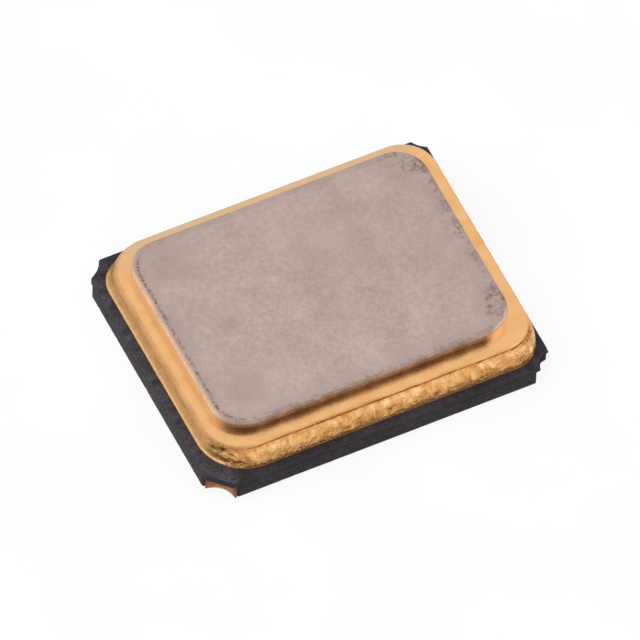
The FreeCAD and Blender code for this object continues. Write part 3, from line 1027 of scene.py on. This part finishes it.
innerFinishes = {
    "quartz_blank": quartzFinish(),
    "lower_electrode": plainMetalFinish("electrode film", *innerLook["film"], 0.06, (0.15, 0.30)),
    "glue_dot_in": plainMetalFinish("conductive glue", *innerLook["glue"], 0.03, (0.45, 0.70)),
    "bond_land_in": plainMetalFinish("land gold", *innerLook["land"], 0.05, (0.25, 0.40)),
    "blank_rest": plainMetalFinish("fired print", *innerLook["print"], 0.04, (0.50, 0.70)),
    "signal_via_in": plainMetalFinish("via metal", *innerLook["via"], 0.03, (0.45, 0.60)),
}
sameFinish = {
    "upper_electrode": "lower_electrode", "glue_dot_out": "glue_dot_in", "bond_land_out": "bond_land_in",
    "signal_via_out": "signal_via_in", "ground_via_right": "signal_via_in",
    "ground_via_left": "signal_via_in",
}
for node in list(innerFinishes) + list(sameFinish):
    finish = innerFinishes[sameFinish.get(node, node)]
    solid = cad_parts[node]
    solid.data.materials.clear()
    solid.data.materials.append(finish)
print("inner pieces finished:", len(innerFinishes) + len(sameFinish))


# Floor, light and camera

studio = {
    "floorSize": 1.0, "floorDrop": 0.000001, "floorBounce": (190, 190, 190), "floorGlow": 0.90,
    "skyLight": 0.70,
    "keyPlace": (-0.42, 0.10, 0.46), "keySize": 0.88, "keyRadiance": 1.48,
    "fillPlace": (0.30, -0.25, 0.50), "fillSize": 0.30, "fillRadiance": 1.0,
}


def makeFloor():
    # The camera and the reflections see a nearly white floor that still takes the shadow.
    half, low = studio["floorSize"] / 2, -studio["floorDrop"]
    corners = [(-half, -half, low), (half, -half, low), (half, half, low), (-half, half, low)]
    mesh = bpy.data.meshes.new("floor")
    mesh.from_pydata(corners, [], [(0, 1, 2, 3)])
    floor = bpy.data.objects.new("floor", mesh)
    bpy.context.scene.collection.objects.link(floor)
    finish = Finish("pale floor")
    path = finish.add("ShaderNodeLightPath")
    seen = finish.sum(path.outputs["Is Camera Ray"], path.outputs["Is Glossy Ray"], "MAXIMUM")
    seen = finish.sum(seen, path.outputs["Is Transmission Ray"], "MAXIMUM")
    dust = finish.between(finish.patches(1.5, detail=3), 0.3, 0.7, 0.97, 1.0)
    rest = 1.0 - studio["floorGlow"]
    colour = finish.blend(seen, photoColour(*studio["floorBounce"]), (rest, rest, rest, 1.0))
    finish.shader.inputs["Specular IOR Level"].default_value = 0.0
    finish.shader.inputs["Emission Color"].default_value = (1.0, 1.0, 1.0, 1.0)
    glow = finish.times(finish.times(seen, studio["floorGlow"]), dust)
    finish.links.new(glow, finish.shader.inputs["Emission Strength"])
    finish.set(colour=colour, rough=0.9)
    mesh.materials.append(finish.material)


def makeSky():
    world = bpy.data.worlds.new("plain sky")
    bpy.context.scene.world = world
    world.use_nodes = True
    nodes, links = world.node_tree.nodes, world.node_tree.links
    nodes.clear()
    output = nodes.new("ShaderNodeOutputWorld")
    mix = nodes.new("ShaderNodeMixShader")
    for place, strength in enumerate((studio["skyLight"], 1.0)):
        shade = nodes.new("ShaderNodeBackground")
        shade.inputs["Color"].default_value = (1, 1, 1, 1)
        shade.inputs["Strength"].default_value = strength
        links.new(shade.outputs[0], mix.inputs[1 + place])
    path = nodes.new("ShaderNodeLightPath")
    seen = path.outputs["Is Camera Ray"]
    for ray in ("Is Glossy Ray", "Is Transmission Ray"):
        larger = nodes.new("ShaderNodeMath")
        larger.operation = "MAXIMUM"
        links.new(seen, larger.inputs[0])
        links.new(path.outputs[ray], larger.inputs[1])
        seen = larger.outputs[0]
    links.new(seen, mix.inputs[0])
    links.new(mix.outputs[0], output.inputs[0])


def makeLamp(name, place, size, radiance, mirrored):
    lamp = bpy.data.lights.new(name, "AREA")
    lamp.shape = "DISK"
    lamp.size = size
    lamp.energy = radiance * math.pi * math.pi * size * size / 4
    holder = bpy.data.objects.new(name, lamp)
    holder.location = place
    holder.rotation_euler = (-Vector(place)).to_track_quat("-Z", "Y").to_euler()
    holder.visible_camera = False
    holder.visible_glossy = mirrored
    bpy.context.scene.collection.objects.link(holder)


cameraLook = {
    "azimuth": 27.764, "elevation": 54.584, "roll": 2.412, "distance": 144.36, "pixelsPerMm": 151.92,
    "aim": (0.0, 0.0, 0.22), "imageX": 319.95, "imageY": 309.95, "imageSize": 640,
}


def makeCamera():
    look = cameraLook
    azimuth, elevation = math.radians(look["azimuth"]), math.radians(look["elevation"])
    roll = math.radians(look["roll"])
    back = Vector((-math.sin(azimuth) * math.cos(elevation), -math.cos(azimuth) * math.cos(elevation),
                   math.sin(elevation)))
    right = (-back).cross(Vector((0, 0, 1))).normalized()
    up = right.cross(-back)
    rolledRight = right * math.cos(roll) + up * math.sin(roll)
    rolledUp = up * math.cos(roll) - right * math.sin(roll)
    offX = (look["imageSize"] / 2 - look["imageX"]) / look["pixelsPerMm"]
    offY = (look["imageY"] - look["imageSize"] / 2) / look["pixelsPerMm"]
    aim = Vector(look["aim"]) + rolledRight * offX + rolledUp * offY
    camera = bpy.data.cameras.new("camera")
    camera.sensor_width = 36
    camera.lens = look["pixelsPerMm"] * look["distance"] / look["imageSize"] * camera.sensor_width
    camera.clip_start, camera.clip_end = 0.005, 10
    holder = bpy.data.objects.new("camera", camera)
    bpy.context.scene.collection.objects.link(holder)
    turned = Matrix((rolledRight, rolledUp, back)).transposed().to_4x4()
    holder.matrix_world = Matrix.Translation((aim + back * look["distance"]) * mm) @ turned
    bpy.context.scene.camera = holder


makeFloor()
makeSky()
makeLamp("key lamp", studio["keyPlace"], studio["keySize"], studio["keyRadiance"], False)
makeLamp("fill lamp", studio["fillPlace"], studio["fillSize"], studio["fillRadiance"], True)
makeCamera()
bpy.context.scene.view_settings.view_transform = "Standard"
print("floor, light and camera set")
